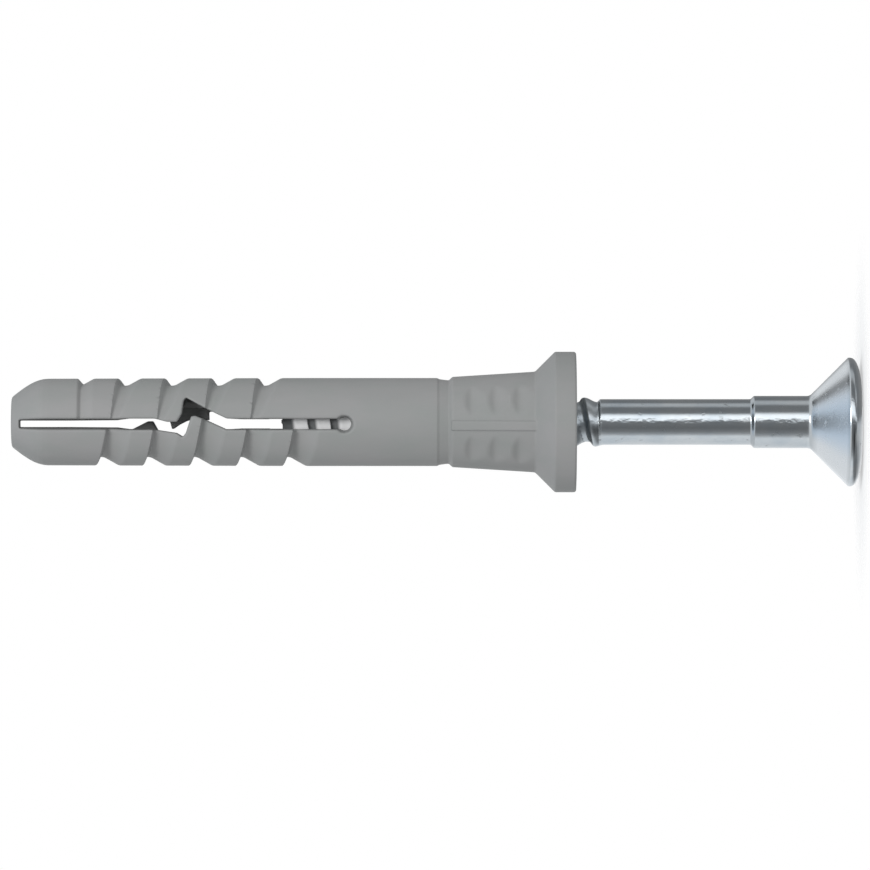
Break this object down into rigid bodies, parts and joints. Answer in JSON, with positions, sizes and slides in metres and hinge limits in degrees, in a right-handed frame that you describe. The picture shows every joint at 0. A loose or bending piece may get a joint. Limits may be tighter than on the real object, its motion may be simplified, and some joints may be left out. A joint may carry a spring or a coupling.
{
  "type": "wall plug with drive nail",
  "caption": "Hammer-in wall plug: a slit nylon sleeve with helical saw-tooth ribs and a countersunk collar, with a threaded steel drive nail set part of the way in.",
  "frame": {"origin": "centre of the flat end of the nail's head, on which the plug stands", "axes": "+Z runs along the common axis of nail and sleeve, from the nail's head to the sleeve's tip; the sleeve's slit opens towards -Y and +Y"},
  "size_m": [0.01, 0.01, 0.0602],
  "materials": {
    "nylon": "matte",
    "zinc_steel": "satin"
  },
  "bodies": {
    "sleeve": {"sleeve": "nylon"},
    "nail": {"nail": "zinc_steel"}
  },
  "joints": [
    {"name": "nail_drive", "type": "slide", "parent": "sleeve", "child": "nail", "axis": [0, 0, 1], "range_m": [0, 0.0193], "deforming": ["sleeve"]}
  ]
}
